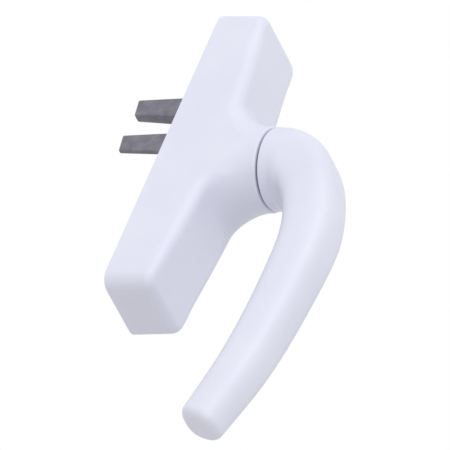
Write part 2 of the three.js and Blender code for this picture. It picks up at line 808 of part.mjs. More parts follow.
function rackShape() {
  const pitchLine = -MODULE * PINION_TEETH / 2;
  const tip = pitchLine + MODULE;
  const root = pitchLine - 1.25 * MODULE;
  const spacing = Math.PI * MODULE;
  const halfAt = (x) => spacing / 4 - FLANK_CLEARANCE - (x - pitchLine) * Math.tan(PRESSURE_ANGLE);
  const shape = new THREE.Shape();
  shape.moveTo(SLIDER_LEFT, SLIDER_TOP);
  shape.lineTo(SLIDER_LEFT, SLIDER_BOTTOM);
  shape.lineTo(root, SLIDER_BOTTOM);
  for (let tooth = -RACK_TEETH_BELOW; tooth <= RACK_TEETH_ABOVE; tooth += 1) {
    const middle = tooth * spacing;
    shape.lineTo(root, middle - halfAt(root));
    shape.lineTo(tip, middle - halfAt(tip));
    shape.lineTo(tip, middle + halfAt(tip));
    shape.lineTo(root, middle + halfAt(root));
  }
  shape.lineTo(root, SLIDER_TOP);
  return shape;
}

function forkScrewPlaces() {
  return FORK_SCREW_PLACES.map((y) => [0, y]);
}

function rackSlider() {
  const middleY = (SLIDER_TOP + SLIDER_BOTTOM) / 2;
  const plate = block(SLIDER_LEFT, SLIDER_RIGHT, SLIDER_BOTTOM, SLIDER_TOP, SLIDER_FROM, SLIDER_TO);
  const holes = forkScrewPlaces().flatMap(([x, y]) => [
    rod(FORK_SCREW.sliderHole, SLIDER_FROM - 1, SLIDER_TO + 1, x, y, SMALL_SIDES),
    rod(FORK_SCREW.recess, SLIDER_TO - FORK_SCREW.recessDepth, SLIDER_TO + 1, x, y, SMALL_SIDES),
  ]);
  const lightening = slab(roundedRectangle(1.6, 5, 1.5, middleY - 22), SLIDER_FROM - 1, SLIDER_TO + 1);
  return without(plate.add(slab(rackShape(), SLIDER_FROM, PINION_TO)), ...holes, lightening);
}

// One tapered prong with a slanted, rounded free end; both prongs share the plane of their
// -X sides
function prong({ centre, rootWidth, tipWidth }) {
  const start = FORK_FOOT_TO - 1;
  const length = start + PRONG_REACH;
  const sectionAt = (depth, inset, slant) => {
    const share = (start - depth) / length;
    const half = THREE.MathUtils.lerp(PRONG_ROOT, PRONG_TIP, share) / 2 - inset;
    const width = THREE.MathUtils.lerp(rootWidth, tipWidth, share);
    const low = PRONG_SIDE + inset * PRONG_SIDE_SHARE;
    const high = PRONG_SIDE + width - inset * PRONG_SIDE_SHARE;
    return [
      new THREE.Vector3(low, centre - half, depth + slant),
      new THREE.Vector3(low, centre + half, depth),
      new THREE.Vector3(high, centre + half, depth),
      new THREE.Vector3(high, centre - half, depth + slant),
    ];
  };
  const sections = [sectionAt(start, 0, 0)];
  const tipSteps = 4;
  for (let step = 0; step <= tipSteps; step += 1) {
    const angle = step / tipSteps * Math.PI / 2;
    const inset = PRONG_TIP_CORNER * (1 - Math.cos(angle));
    const depth = -PRONG_REACH + PRONG_TIP_CORNER * (1 - Math.sin(angle));
    sections.push(sectionAt(depth, inset, PRONG_END_SLANT));
  }
  return solid(new LoftGeometry(sections, { capStart: true, capEnd: true }));
}

function fork() {
  const middle = (FORK_FOOT_TOP + FORK_FOOT_BOTTOM) / 2;
  const half = (FORK_FOOT_TOP - FORK_FOOT_BOTTOM) / 2;
  const foot = slab(roundedRectangle(FORK_FOOT_HALF, half, 1.2, middle), FORK_FOOT_FROM, FORK_FOOT_TO);
  const holes = forkScrewPlaces().map(([x, y]) => (
    rod(FORK_SCREW.forkHole, FORK_FOOT_FROM - 1, FORK_FOOT_TO + 1, x, y, SMALL_SIDES)
  ));
  return without(joined(foot, ...PRONGS.map(prong)), ...holes);
}

function forkScrew([x, y]) {
  const headFrom = SLIDER_TO - FORK_SCREW.headHeight;
  const head = rod(FORK_SCREW.head, headFrom, SLIDER_TO, x, y, SMALL_SIDES);
  const shank = rod(FORK_SCREW.shank, FORK_SCREW.shankFrom, headFrom + FORK_SCREW.overlap, x, y, SMALL_SIDES);
  const socket = hexSocket(SLIDER_TO - FORK_SCREW.socketDepth, SLIDER_TO + 1, FORK_SCREW.socket, x, y);
  return head.add(shank).subtract(socket);
}

function guideStripLeft() {
  return block(-GUIDE_OUTER, -GUIDE_INNER, -GUIDE_HALF_LENGTH, GUIDE_HALF_LENGTH, GUIDE_FROM, GUIDE_TO);
}

function guideStripRight() {
  const ends = [-GUIDE_HALF_LENGTH, GUIDE_HALF_LENGTH];
  return block(GUIDE_INNER, GUIDE_OUTER, ...ends, GUIDE_FROM, GUIDE_TO)
    .add(block(GUIDE_RAIL_INNER, GUIDE_OUTER, ...ends, GUIDE_FROM, GUIDE_RAIL_TO));
}

// ---- back plate and fixings ----

const PINION_TRAVEL = Math.PI * MODULE * PINION_TEETH / 2;

function backPlate() {
  const inset = HOUSING_WALL + PLATE_INSET;
  const outline = roundedRectangle(
    HOUSING_WIDTH / 2 - inset,
    HOUSING_LENGTH / 2 - inset,
    HOUSING_CORNER - inset,
    HOUSING_CENTRE,
  );
  const slotTop = PRONGS[0].centre + PRONG_ROOT / 2 + SLOT_END_CLEARANCE;
  const slotBottom = PRONGS[1].centre - PRONG_ROOT / 2 - SLOT_END_CLEARANCE - PINION_TRAVEL;
  const slotHalf = (slotTop - slotBottom) / 2;
  const slot = roundedRectangle(SLOT_WIDTH / 2, slotHalf, 1.2, (slotTop + slotBottom) / 2);
  const screwHoles = screwPlaces().flatMap(([x, y]) => [
    rod(PLATE_SCREW.plateHole, -1, PLATE_THICKNESS + 1, x, y, SMALL_SIDES),
    rod(PLATE_SCREW.sink, -1, PLATE_SCREW.sinkTo, x, y, SMALL_SIDES),
  ]);
  const insertHoles = [1, -1].map((side) => (
    rod(INSERT_RADIUS + GAP, -1, PLATE_THICKNESS + 1, 0, HOUSING_CENTRE + side * INSERT_Y)
  ));
  return without(
    slab(outline, 0, PLATE_THICKNESS),
    slab(slot, -1, PLATE_THICKNESS + 1),
    ...screwHoles,
    ...insertHoles,
  );
}

function backPlateScrew([x, y]) {
  const { head, headFrom, headTo, shank, shankTo, crossTo } = PLATE_SCREW;
  const long = PLATE_SCREW.crossHalfLength;
  const short = PLATE_SCREW.crossHalfWidth;
  return without(
    rod(head, headFrom, headTo, x, y, SMALL_SIDES),
    block(x - long, x + long, y - short, y + short, headFrom - 1, crossTo),
    block(x - short, x + short, y - long, y + long, headFrom - 1, crossTo),
  ).add(rod(shank, crossTo + 0.05, shankTo, x, y, SMALL_SIDES));
}

function fixingInsert(side) {
  const flangeFrom = PLATE_THICKNESS + GAP;
  return turned([
    [INSERT_BORE, 0],
    [INSERT_RADIUS, 0],
    [INSERT_RADIUS, flangeFrom],
    [INSERT_FLANGE, flangeFrom],
    [INSERT_FLANGE, flangeFrom + INSERT_FLANGE_THICKNESS],
    [INSERT_RADIUS, flangeFrom + INSERT_FLANGE_THICKNESS],
    [INSERT_RADIUS, INSERT_TO],
    [INSERT_BORE, INSERT_TO],
  ]).translate([0, HOUSING_CENTRE + side * INSERT_Y, 0]);
}

// ---- assembly ----

const assembly = new THREE.Group();
assembly.rotation.x = Math.PI / 2;

function add(name, manifold, finish) {
  const mesh = new THREE.Mesh(geometryOf(manifold), new THREE.MeshStandardMaterial(finish));
  mesh.name = name;
  assembly.add(mesh);
}

add('housing', housing(), POWDER_WHITE);
add('lever', lever(), POWDER_WHITE);
add('neck_bush', neckBush(), BLACK_NYLON);
add('retaining_washer', retainingWasher(), BRIGHT_STEEL);
add('retaining_ring', retainingRing(), BRIGHT_STEEL);
add('spindle', spindle(), BRIGHT_STEEL);
add('spindle_pin', spindlePin(), BRIGHT_STEEL);
add('detent_disc', detentDisc(), BRASS);
add('pinion', pinion(), BRIGHT_STEEL);
add('pinion_screw', pinionScrew(), ZINC_PLATED);
for (const [name, side] of [['top', 1], ['bottom', -1]]) {
  add(`detent_ball_${name}`, detentBall(side), BRIGHT_STEEL);
  add(`detent_spring_${name}`, detentSpring(side), BRIGHT_STEEL);
  add(`fixing_insert_${name}`, fixingInsert(side), ZINC_PLATED);
}
add('rack_slider', rackSlider(), ZINC_PLATED);
add('fork', fork(), DARK_ZINC);
forkScrewPlaces().forEach((place, index) => {
  add(`fork_screw_${index + 1}`, forkScrew(place), ZINC_PLATED);
});
add('guide_strip_left', guideStripLeft(), BLACK_NYLON);
add('guide_strip_right', guideStripRight(), BLACK_NYLON);
add('back_plate', backPlate(), ZINC_PLATED);
screwPlaces().forEach((place, index) => {
  add(`back_plate_screw_${index + 1}`, backPlateScrew(place), ZINC_PLATED);
});

const handle = new THREE.Group();
handle.add(assembly);

export default handle;
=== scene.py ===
import json
import math

import bmesh
import bpy
import numpy as np
from mathutils import Euler, Matrix, Vector


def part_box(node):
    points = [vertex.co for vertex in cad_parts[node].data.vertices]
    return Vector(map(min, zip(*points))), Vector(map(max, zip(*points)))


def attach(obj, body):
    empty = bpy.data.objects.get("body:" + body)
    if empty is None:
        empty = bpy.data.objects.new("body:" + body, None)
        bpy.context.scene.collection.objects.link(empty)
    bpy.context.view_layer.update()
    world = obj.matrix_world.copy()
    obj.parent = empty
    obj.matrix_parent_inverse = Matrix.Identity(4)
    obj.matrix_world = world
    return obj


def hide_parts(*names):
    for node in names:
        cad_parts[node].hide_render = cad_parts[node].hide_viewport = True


# Looks of the tilt and turn window handle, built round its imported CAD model.
#
# Shapes are written in millimetres in the handle's own plan: X across the housing, Y
# along it, and depth out from the sash towards the room. to_frame() turns such points
# into the shared frame, in metres, where depth runs along -Y and the plan's Y is up.

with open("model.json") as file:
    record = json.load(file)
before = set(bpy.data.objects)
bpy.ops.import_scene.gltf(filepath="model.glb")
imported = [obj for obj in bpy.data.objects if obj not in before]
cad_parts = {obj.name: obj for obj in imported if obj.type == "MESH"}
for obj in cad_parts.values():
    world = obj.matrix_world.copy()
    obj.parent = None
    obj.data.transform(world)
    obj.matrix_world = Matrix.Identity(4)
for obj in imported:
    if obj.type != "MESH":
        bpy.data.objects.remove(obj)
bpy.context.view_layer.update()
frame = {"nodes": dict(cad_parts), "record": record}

MM = 0.001


def to_frame(points):
    """Plan points (x, y, depth) in mm as frame points in metres."""
    points = np.asarray(points, float)
    return np.stack([points[..., 0], -points[..., 2], points[..., 1]], axis=-1) * MM


def plan_box(node):
    """Lowest and highest plan corner of a CAD node, in mm."""
    low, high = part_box(node)
    low_corner = Vector((low.x, low.z, -high.y)) / MM
    high_corner = Vector((high.x, high.z, -low.y)) / MM
    return low_corner, high_corner


# ---- driving dimensions, in mm ----

housing_low, housing_high = plan_box("housing")
HOUSING_WIDTH = housing_high.x - housing_low.x
HOUSING_LENGTH = housing_high.y - housing_low.y
HOUSING_CENTRE = (housing_high.y + housing_low.y) / 2
HOUSING_CORNER = 5.5
HOUSING_WALL = 1.5
HOUSING_DRAFT = 0.018
HOUSING_BACK_EDGE = 0.25
HOUSING_END_EDGE = 3.4
HOUSING_SIDE_EDGE = 4.6
# The edge's radius changes between these distances from the housing's ends
EDGE_BLEND_FROM = 16
EDGE_BLEND_TO = 6
# Largest shares of the room outside the neck that the edge, and then the flare, may take
EDGE_ROOM_SHARE = 0.4
FLARE_ROOM_SHARE = 0.6
# How strongly the outline's points crowd towards the neck
SIDE_CROWDING = 1.25
FACE_DEPTH_AT_ENDS = 18.6
FACE_RISE = 5.9
FACE_ARCH_POWER = 1.5

NECK_TOP = housing_high.z
NECK_RADIUS = 15.6
NECK_TAPER = 0.1
NECK_FLARE = 9.6
NECK_FLARE_HEIGHT = 14.2
NECK_RIM = 0.8

BUSH_BORE = 8.9
BUSH_RADIUS = 10.9
BUSH_SEAT = 27.4
BUSH_FLANGE_RADIUS = 13.2
BUSH_FLANGE_FROM = NECK_TOP - 1
BUSH_EDGE = 0.2
COUNTERBORE_EDGE = 0.2
CLEARANCE = 0.3
CHAMBER_RADIUS = 12
BOSS_RADIUS = 13.5
BOSS_FOOT = 17.4

# Lever: place along Y, depth, lean from the room direction in degrees, half width, half
# thickness and squareness of its sections
LEVER_START = 39.8
LEVER_STATIONS = np.array([
    (0, LEVER_START, 0, 15.3, 15.3, 2),
    (-0.2, 45.1, 8, 14.9, 14.8, 2.06),
    (-2, 49.1, 20, 14.3, 13.8, 2.4),
    (-7.1, 55.4, 47, 12.9, 11.4, 3.4),
    (-16.6, 60.8, 66, 11.5, 10.3, 3.3),
    (-32.8, 65.2, 83, 10.5, 9.9, 3.1),
    (-56.2, 65.1, 94, 9.8, 9.4, 2.9),
    (-92, 61.1, 100, 9, 8.7, 2.7),
    (-122.4, 53.1, 107, 8, 7.7, 2.5),
])
LEVER_ROOT_EDGE = 0.9
LEVER_TIP_EDGE = 3.2
LEVER_SIDES = 128
# Drawn in all round, so that the smooth lever stays inside the box of its CAD node
LEVER_SKIN = 0.06
BUSH_TO_LEVER = 0.08
BUSH_TOP = LEVER_START - BUSH_TO_LEVER
SPIGOT_RADIUS = 8.6
SPIGOT_END = 22.6
SPIGOT_EDGE = 0.4
RING_GROOVE_RADIUS = 7.6
RING_GROOVE_FROM = 24.5
RING_GROOVE_TO = 26.1

PRONG_START = 3.1
PRONG_REACH = 28.8
PRONG_END_SLANT = 1
PRONG_ROOT = 10.4
PRONG_TIP = 7.8
PRONG_SIDE = -2.4
PRONG_EDGE = 0.8
# Centre along Y, and width across X at the root and at the tip
PRONGS = [(29.5, 6, 3.9), (12.1, 2.2, 2)]
FORK_FOOT_FROM = 2.1
FORK_FOOT_TO = 4.1
FORK_FOOT_CORNER = 1.2
FORK_FOOT_EDGE = 0.2
FORK_SCREW_PLACES = [20.8, 38.8]
FORK_SCREW_HOLE = 1.6

PLATE_THICKNESS = 1.8
PLATE_CORNER = 3.65
PLATE_SINK_DEPTH = 1.1
PLATE_SINK_RADIUS = 3
PLATE_HOLE_RADIUS = 1.8
PLATE_EDGE = 0.25
PLATE_LAYER_OVERLAP = 0.05
SLOT_HALF_WIDTH = 4.2
SLOT_TOP = 35.9
SLOT_BOTTOM = -29.643
SLOT_CORNER = 1.2
INSERT_HOLE_RADIUS = 4.3

INSERT_RADIUS = 4
INSERT_EDGE = 0.2
INSERT_BORE = 2.1
INSERT_FLANGE = 5.6
INSERT_FLANGE_FROM = 2.1
INSERT_FLANGE_TO = 3.3
INSERT_TO = 8.5
THREAD_PITCH = 0.8
THREAD_DEPTH = 0.35

SCREW_HEAD = 2.7
SCREW_HEAD_FROM = 0.1
SCREW_HEAD_TO = 0.8
SCREW_HEAD_EDGE = 0.05
# Radius, and distance below the head's highest point
SCREW_DOME = [(0.9, 0), (1.7, 0.03), (2.3, 0.12), (SCREW_HEAD - 0.08, 0.3), (SCREW_HEAD, 0.45)]
SCREW_SHANK = 1.25
SCREW_THREAD_DEPTH = 0.25
SCREW_THREAD_START = 0.1
SCREW_PLAIN_LENGTH = 1
SCREW_POINT_LENGTH = 0.6
SCREW_POINT_RADIUS = 0.3
SCREW_TO = 10
SCREW_CROSS_LENGTH = 2.8
SCREW_CROSS_WIDTH = 0.6
SCREW_CROSS_DEPTH = 0.45
SCREW_CROSS_ABOVE = 0.5
# Shares of the cross's length and width above the head and at the recess's bottom
SCREW_CROSS_TOP_SHARE = 1.15
SCREW_CROSS_BOTTOM_SHARE = 0.75


# ---- mesh helpers ----

# Largest share of a profile's side that a rounded corner may take
CORNER_REACH_SHARE = 0.4


def new_object(name, mesh, smooth_angle=35):
    """A mesh as an object, shaded smooth except over sharp corners."""
    for polygon in mesh.polygons:
        polygon.use_smooth = True
    mesh.set_sharp_from_angle(angle=math.radians(smooth_angle))
    piece = bpy.data.objects.new(name, mesh)
    bpy.context.scene.collection.objects.link(piece)
    return piece


def outward_mesh(name, grid):
    """The mesh in a bmesh, cleaned, with its faces turned outwards."""
    bmesh.ops.remove_doubles(grid, verts=grid.verts, dist=1e-7)
    bmesh.ops.recalc_face_normals(grid, faces=grid.faces)
    mesh = bpy.data.meshes.new(name)
    grid.to_mesh(mesh)
    grid.free()
    return mesh


def loft(name, rings, closed=False, smooth_angle=35):
    """A skin over rings of plan points. A closed loft joins its last ring to its first;
    an open one gets flat caps, each drawn in to its middle in smaller rings."""
    rings = [np.asarray(ring, float) for ring in rings]
    if not closed:
        for end in (0, -1):
            middle = rings[end].mean(axis=0)
            inner = [middle + (rings[end] - middle) * share for share in (0.8, 0.5, 0.2)]
            rings = rings + inner if end else inner[::-1] + rings
    grid = bmesh.new()
    rows = [[grid.verts.new(point) for point in to_frame(ring)] for ring in rings]
    count = len(rows[0])
    pairs = list(zip(rows, rows[1:] + rows[:1])) if closed else list(zip(rows, rows[1:]))
    for row, following in pairs:
        for i in range(count):
            j = (i + 1) % count
            grid.faces.new((row[i], row[j], following[j], following[i]))
    if not closed:
        grid.faces.new(rows[0][::-1])
        grid.faces.new(rows[-1])
    return new_object(name, outward_mesh(name, grid), smooth_angle)


def circle(radius, depth, sides, x=0.0, y=0.0):
    """A ring of plan points round the line at (x, y)."""
    angles = np.arange(sides) / sides * 2 * math.pi
    return np.stack([
        x + radius * np.cos(angles),
        y + radius * np.sin(angles),
        np.full(sides, float(depth)),
    ], axis=-1)


def turned(name, profile, sides, x=0.0, y=0.0, closed=False, smooth_angle=35):
    """A round piece about the line at (x, y), from (radius, depth) points."""
    rings = [circle(radius, depth, sides, x, y) for radius, depth in profile]
    return loft(name, rings, closed, smooth_angle)


def rounded_profile(profile, radius, steps=4):
    """A closed (radius, depth) profile with each corner replaced by a small arc."""
    points = [Vector(point) for point in profile]
    rounded = []
    for index, corner in enumerate(points):
        before = points[index - 1] - corner
        after = points[(index + 1) % len(points)] - corner
        shorter = min(before.length, after.length)
        reach = min(radius, shorter * CORNER_REACH_SHARE)
        start = corner + before.normalized() * reach
        end = corner + after.normalized() * reach
        for step in range(steps + 1):
            share = step / steps
            toward_corner = corner * 2 * share * (1 - share)
            rounded.append(start * (1 - share) ** 2 + toward_corner + end * share ** 2)
    return [tuple(point) for point in rounded]


def rounded_rectangle(half_x, half_y, corner, centre_y, steps=10):
    """Plan outline points of a rounded rectangle."""
    points = []
    places = [(1, 1, 0), (-1, 1, 1), (-1, -1, 2), (1, -1, 3)]
    for side_x, side_y, quarter in places:
        for step in range(steps + 1):
            angle = (quarter + step / steps) * math.pi / 2
            points.append((
                side_x * (half_x - corner) + corner * math.cos(angle),
                centre_y + side_y * (half_y - corner) + corner * math.sin(angle),
            ))
    return points


def hole_outline(radius, x, y, sides=48):
    return [tuple(point[:2]) for point in circle(radius, 0, sides, x, y)]


def sheet_slab(name, outlines, depth_from, depth_to):
    """A flat slab with holes: the first outline is its rim and the others its holes."""
    curve = bpy.data.curves.new(name, "CURVE")
    curve.dimensions = "2D"
    curve.fill_mode = "BOTH"
    curve.extrude = (depth_to - depth_from) / 2 * MM
    for outline in outlines:
        spline = curve.splines.new("POLY")
        spline.points.add(len(outline) - 1)
        spline.use_cyclic_u = True
        for point, (x, y) in zip(spline.points, outline):
            point.co = (x * MM, y * MM, 0, 1)
    shape = bpy.data.objects.new(name + "_outline", curve)
    bpy.context.scene.collection.objects.link(shape)
    bpy.context.view_layer.update()
    evaluated = shape.evaluated_get(bpy.context.evaluated_depsgraph_get())
    flat = bpy.data.meshes.new_from_object(evaluated)
    bpy.data.objects.remove(shape)
    lift = Matrix.Translation((0, 0, (depth_to + depth_from) / 2 * MM))
    flat.transform(Euler((math.pi / 2, 0, 0)).to_matrix().to_4x4() @ lift)
    grid = bmesh.new()
    grid.from_mesh(flat)
    bpy.data.meshes.remove(flat)
    return new_object(name, outward_mesh(name, grid))


def soften(piece, width, segments=3, angle=40):
    """Rounds the piece's sharp edges with a bevel of a width in mm."""
    bevel = piece.modifiers.new("edges", "BEVEL")
    bevel.width = width * MM
    bevel.segments = segments
    bevel.limit_method = "ANGLE"
    bevel.angle_limit = math.radians(angle)
    bevel.harden_normals = True
    return piece


def combine(piece, other, operation):
    """Applies a boolean of the other piece to this one and removes the other."""
    boolean = piece.modifiers.new("combine", "BOOLEAN")
    boolean.operation = operation
    boolean.solver = "EXACT"
    boolean.object = other
    apply_modifiers(piece)
    bpy.data.objects.remove(other)
    return piece


def apply_modifiers(piece):
    """Makes the piece's modifiers part of its mesh."""
    bpy.context.view_layer.update()
    evaluated = piece.evaluated_get(bpy.context.evaluated_depsgraph_get())
    mesh = bpy.data.meshes.new_from_object(evaluated)
    piece.modifiers.clear()
    piece.data = mesh
    return piece


# ---- materials ----

class Nodes:
    """Adds shader nodes to a material and links them."""

    def __init__(self, name):
        self.material = bpy.data.materials.new(name)
        self.material.use_nodes = True
        self.tree = self.material.node_tree
        self.shader = self.tree.nodes["Principled BSDF"]
        self.place = self.add("ShaderNodeTexCoord").outputs["Object"]

    def add(self, kind, links=(), **values):
        node = self.tree.nodes.new(kind)
        for key, value in values.items():
            setattr(node, key, value)
        for socket, source in links:
            self.link(source, node.inputs[socket])
        return node

    def link(self, source, target):
        if isinstance(source, bpy.types.NodeSocket):
            self.tree.links.new(source, target)
        else:
            target.default_value = source

    def noise(self, size, detail=3, stretch=(1, 1, 1)):
        """Noise with features of about a size in mm, from 0 to 1."""
        scaled = self.add("ShaderNodeMapping", [("Vector", self.place), ("Scale", stretch)])
        links = [("Vector", scaled.outputs["Vector"]), ("Scale", 1 / (size * MM)), ("Detail", detail)]
        return self.add("ShaderNodeTexNoise", links).outputs["Fac"]

    def ramp(self, value, low, high, low_result=0.0, high_result=1.0):
        """The value's range from low to high, stretched to new limits."""
        node = self.add("ShaderNodeMapRange", [
            ("Value", value),
            ("From Min", low),
            ("From Max", high),
            ("To Min", low_result),
            ("To Max", high_result),
        ])
        return node.outputs["Result"]

    def mix(self, share, first, second):
        node = self.add("ShaderNodeMix", data_type="RGBA")
        self.link(share, node.inputs["Factor"])
        self.link(first, node.inputs[6])
        self.link(second, node.inputs[7])
        return node.outputs[2]

    def edges(self, low, high):
        """From 0 on flat ground to 1 on sharp outer edges."""
        return self.ramp(self.add("ShaderNodeNewGeometry").outputs["Pointiness"], low, high)

    def bump(self, height, distance, strength=1.0, below=None):
        links = [("Height", height), ("Distance", distance * MM), ("Strength", strength)]
        if below is not None:
            links.append(("Normal", below))
        return self.add("ShaderNodeBump", links).outputs["Normal"]

    def finish(self, colour, roughness, normal, **fixed):
        self.link(colour, self.shader.inputs["Base Color"])
        self.link(roughness, self.shader.inputs["Roughness"])
        self.link(normal, self.shader.inputs["Normal"])
        for socket, value in fixed.items():
            self.shader.inputs[socket.replace("_", " ")].default_value = value
        return self.material


def colour(red, green, blue):
    return (red, green, blue, 1.0)


def powder_coat():
    """Satin white powder coat: faint orange peel, slow tint changes, and a painted sheen that
    lightens the sharp edges.
    """
    nodes = Nodes("powder_white")
    tint = nodes.ramp(nodes.noise(26, detail=2), 0.3, 0.7)
    base = nodes.mix(tint, colour(0.635, 0.645, 0.76), colour(0.67, 0.68, 0.785))
    specks = nodes.ramp(nodes.noise(0.9, detail=2), 0.62, 0.8, 0.0, 0.05)
    base = nodes.mix(specks, base, colour(0.54, 0.55, 0.63))
    # Painted sheen: the sharp edges are lightened towards a paler blue in place of the gloss of
    # rubbed edges.
    sharp_edges = nodes.edges(0.52, 0.6)
    base = nodes.mix(nodes.ramp(sharp_edges, 0, 1, 0, 0.35), base, colour(0.71, 0.72, 0.81))
    roughness = nodes.ramp(nodes.noise(9, detail=3), 0.3, 0.7, 0.4, 0.5)
    peel = nodes.bump(nodes.noise(1.5, detail=1), 0.012)
    grain = nodes.bump(nodes.noise(0.35, detail=2), 0.004, below=peel)
    return nodes.finish(base, roughness, grain, Coat_Weight=0.1, Coat_Roughness=0.3)


def cast_zinc():
    """Dark passivated zinc casting: mottled, slightly grainy, lighter on worn sharp edges."""
    nodes = Nodes("dark_zinc")
    mottle = nodes.ramp(nodes.noise(3.5, detail=4), 0.32, 0.68)
    base = nodes.mix(mottle, colour(0.185, 0.18, 0.215), colour(0.25, 0.245, 0.29))
    sharp_edges = nodes.edges(0.53, 0.62)
    base = nodes.mix(nodes.ramp(sharp_edges, 0, 1, 0, 0.5), base, colour(0.42, 0.42, 0.46))
    roughness = nodes.ramp(nodes.noise(1.2, detail=3), 0.3, 0.7, 0.42, 0.6)
    skin = nodes.bump(nodes.noise(0.7, detail=4), 0.03)
    return nodes.finish(base, roughness, skin, Metallic=0.85)


def plated_steel():
    """Zinc-plated steel: a cool pale skin with faint blue and straw patches and rolling lines."""
    nodes = Nodes("zinc_plated")
    patches = nodes.ramp(nodes.noise(7, detail=3), 0.35, 0.65)
    base = nodes.mix(patches, colour(0.5, 0.53, 0.58), colour(0.6, 0.6, 0.58))
    roughness = nodes.ramp(nodes.noise(2, detail=4), 0.3, 0.7, 0.28, 0.45)
    lines = nodes.bump(nodes.noise(0.4, detail=2, stretch=(1, 1, 0.06)), 0.006)
    return nodes.finish(base, roughness, lines, Metallic=1.0)


def bright_steel():
    """Ground steel with fine turning marks."""
    nodes = Nodes("bright_steel")
    shade = nodes.noise(4, detail=3)
    base = nodes.mix(shade, colour(0.55, 0.56, 0.58), colour(0.68, 0.68, 0.69))
    roughness = nodes.ramp(nodes.noise(1.4, detail=3), 0.3, 0.7, 0.2, 0.34)
    marks = nodes.bump(nodes.noise(0.3, detail=2, stretch=(0.1, 1, 1)), 0.004)
    return nodes.finish(base, roughness, marks, Metallic=1.0)


def black_nylon():
    """Moulded black nylon with a fine matte grain."""
    nodes = Nodes("black_nylon")
    shade = nodes.noise(2.5, detail=3)
    base = nodes.mix(shade, colour(0.018, 0.018, 0.02), colour(0.034, 0.034, 0.037))
    roughness = nodes.ramp(nodes.noise(1.2, detail=2), 0.3, 0.7, 0.5, 0.66)
    grain = nodes.bump(nodes.noise(0.25, detail=2), 0.01)
    return nodes.finish(base, roughness, grain)


def brass():
    """Machined brass, a little tarnished in patches."""
    nodes = Nodes("brass")
    tarnish = nodes.ramp(nodes.noise(3, detail=4), 0.4, 0.7)
    base = nodes.mix(tarnish, colour(0.66, 0.46, 0.18), colour(0.42, 0.28, 0.12))
    roughness = nodes.ramp(nodes.noise(1.5, detail=3), 0.3, 0.7, 0.25, 0.42)
    marks = nodes.bump(nodes.noise(0.3, detail=2, stretch=(0.1, 1, 1)), 0.005)
    return nodes.finish(base, roughness, marks, Metallic=1.0)


def floor_paint():
    """Matte pale floor with a barely visible mottling."""
    nodes = Nodes("pale_floor")
    shade = nodes.noise(400, detail=3)
    base = nodes.mix(shade, colour(0.7, 0.69, 0.68), colour(0.73, 0.72, 0.71))
    grain = nodes.bump(nodes.noise(3, detail=2), 0.1)
    return nodes.finish(base, 0.8, grain)


MATERIALS = {
    "powder_white": powder_coat(),
    "dark_zinc": cast_zinc(),
    "zinc_plated": plated_steel(),
    "bright_steel": bright_steel(),
    "black_nylon": black_nylon(),
    "brass": brass(),
}


def paint(piece, slot):
    piece.data.materials.clear()
    piece.data.materials.append(MATERIALS[slot])
    return piece


def stand_for(piece, body, slot, *nodes):
    """Hands a finished piece to the frame: its material, its body and what it replaces."""
    paint(piece, slot)
    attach(piece, body)
    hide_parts(*nodes)
    return piece


# ---- housing ----

def face_depth(y):
    """Depth of the housing's front face: an arch that is highest at the neck."""
    share = np.minimum(1, np.abs(y - HOUSING_CENTRE) / (HOUSING_LENGTH / 2))
    return FACE_DEPTH_AT_ENDS + FACE_RISE * (1 - share ** FACE_ARCH_POWER)


def draw_in(radius, from_limit):
    """How far a rounded edge of a radius draws in at a distance from its outer limit."""
    along = np.clip(radius - from_limit, 0, radius)
    return radius - np.sqrt(radius * radius - along * along)


def outline_at(depth, wall=0.0):
    """Half width, half length and corner radius of the housing, or of its hollow, at a depth."""
    taken = HOUSING_DRAFT * depth + wall
    return HOUSING_WIDTH / 2 - taken, HOUSING_LENGTH / 2 - taken, HOUSING_CORNER - taken


def edge_radius(y):
    """Radius of the rounded front edge: larger along the sides than round the ends."""
    from_end = HOUSING_LENGTH / 2 - np.abs(y - HOUSING_CENTRE)
    share = np.clip((from_end - EDGE_BLEND_TO) / (EDGE_BLEND_FROM - EDGE_BLEND_TO), 0, 1)
    share = share * share * (3 - 2 * share)
    return HOUSING_END_EDGE + (HOUSING_SIDE_EDGE - HOUSING_END_EDGE) * share


def outline_points(outline):
    """Points all round an outline and their outward directions, closest beside the neck."""
    half_width, half_length, corner = outline
    side_steps, corner_steps, end_steps = 44, 12, 8
    quarter = []
    for step in range(side_steps):
        y = (half_length - corner) * (step / side_steps) ** SIDE_CROWDING
        quarter.append((half_width, y, 1, 0))
    for step in range(corner_steps):
        angle = step / corner_steps * math.pi / 2
        out_x, out_y = math.cos(angle), math.sin(angle)
        x = half_width - corner + corner * out_x
        quarter.append((x, half_length - corner + corner * out_y, out_x, out_y))
    for step in range(end_steps + 1):
        quarter.append(((half_width - corner) * (1 - step / end_steps), half_length, 0, 1))
    forward = np.array(quarter[:-1])
    backward = np.array(quarter[:0:-1])
    around = np.concatenate([
        forward,
        backward * (-1, 1, -1, 1),
        forward * (-1, -1, -1, -1),
        backward * (1, -1, 1, -1),
    ])
    return around[:, :2] + (0, HOUSING_CENTRE), around[:, 2:]


def depth_inside(x, y, outline):
    """Distance of a point inside a rounded rectangle from its outline."""
    half_width, half_length, corner = outline
    beyond_x = np.abs(x) - (half_width - corner)
    beyond_y = np.abs(y - HOUSING_CENTRE) - (half_length - corner)
    outside = np.hypot(np.maximum(beyond_x, 0), np.maximum(beyond_y, 0))
    return corner - outside - np.minimum(np.maximum(beyond_x, beyond_y), 0)


def flat_ring(outline, depth):
    points = outline_points(outline)[0]
    return np.column_stack([points, np.full(len(points), float(depth))])


